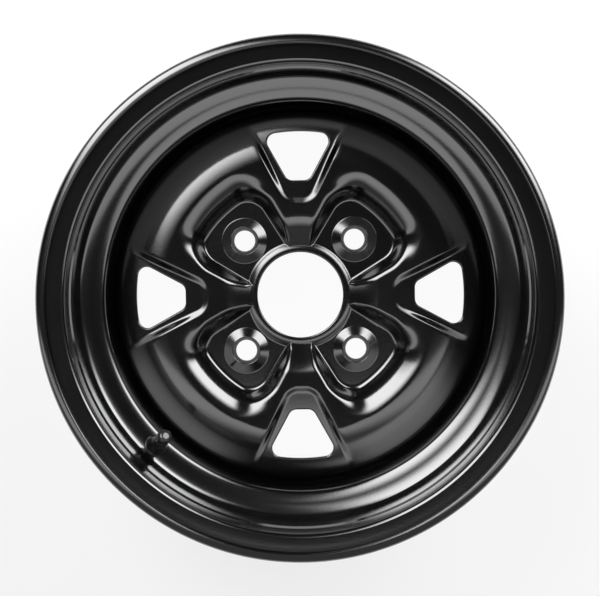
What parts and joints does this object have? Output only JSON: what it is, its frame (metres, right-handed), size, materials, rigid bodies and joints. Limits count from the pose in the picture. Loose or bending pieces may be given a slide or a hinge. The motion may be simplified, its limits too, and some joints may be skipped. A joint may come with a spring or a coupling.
{
  "type": "steel wheel rim",
  "caption": "Pressed-steel vehicle wheel: rolled drop-centre rim with a stamped, windowed disc set deep inside, raised nut seats, centre bore and a snap-in tyre valve.",
  "frame": {"origin": "on the spin axis, in the plane of the hub's mounting face", "axes": "+Z along the spin axis towards the outer side; the windows lie along X and Y"},
  "size_m": [0.3349, 0.335, 0.1968],
  "materials": {
    "rim_paint": "gloss black powder coat",
    "disc_paint": "gloss black powder coat",
    "weld_paint": "gloss black powder coat over weld ripples",
    "valve_rubber": "moulded satin",
    "stem_brass": "turned",
    "core_brass": "turned",
    "barrel_brass": "turned",
    "seal_ring": "moulded",
    "spring_steel": "drawn wire",
    "pin_steel": "drawn wire",
    "cup_rubber": "moulded",
    "cap_plastic": "moulded gloss",
    "washer_rubber": "cut washer"
  },
  "bodies": {
    "wheel": {"rim_barrel": "rim_paint", "wheel_disc": "disc_paint", "disc_welds": "weld_paint", "valve_body": "valve_rubber", "valve_stem": "stem_brass", "core_plug": "core_brass", "core_barrel": "barrel_brass", "core_seal": "seal_ring", "core_spring": "spring_steel"},
    "plunger": {"core_pin": "pin_steel", "core_cup": "cup_rubber"},
    "cap": {"valve_cap": "cap_plastic", "cap_washer": "washer_rubber"}
  },
  "joints": [
    {"name": "cap_pull", "type": "slide", "parent": "wheel", "child": "cap", "axis": [0.4056, 0.4056, 0.8192], "range_m": [0, 0.016]},
    {"name": "core_press", "type": "slide", "parent": "wheel", "child": "plunger", "axis": [-0.4056, -0.4056, -0.8192], "range_m": [0, 0.0012], "stiffness_N_per_m": 200, "springref_m": -0.002}
  ]
}
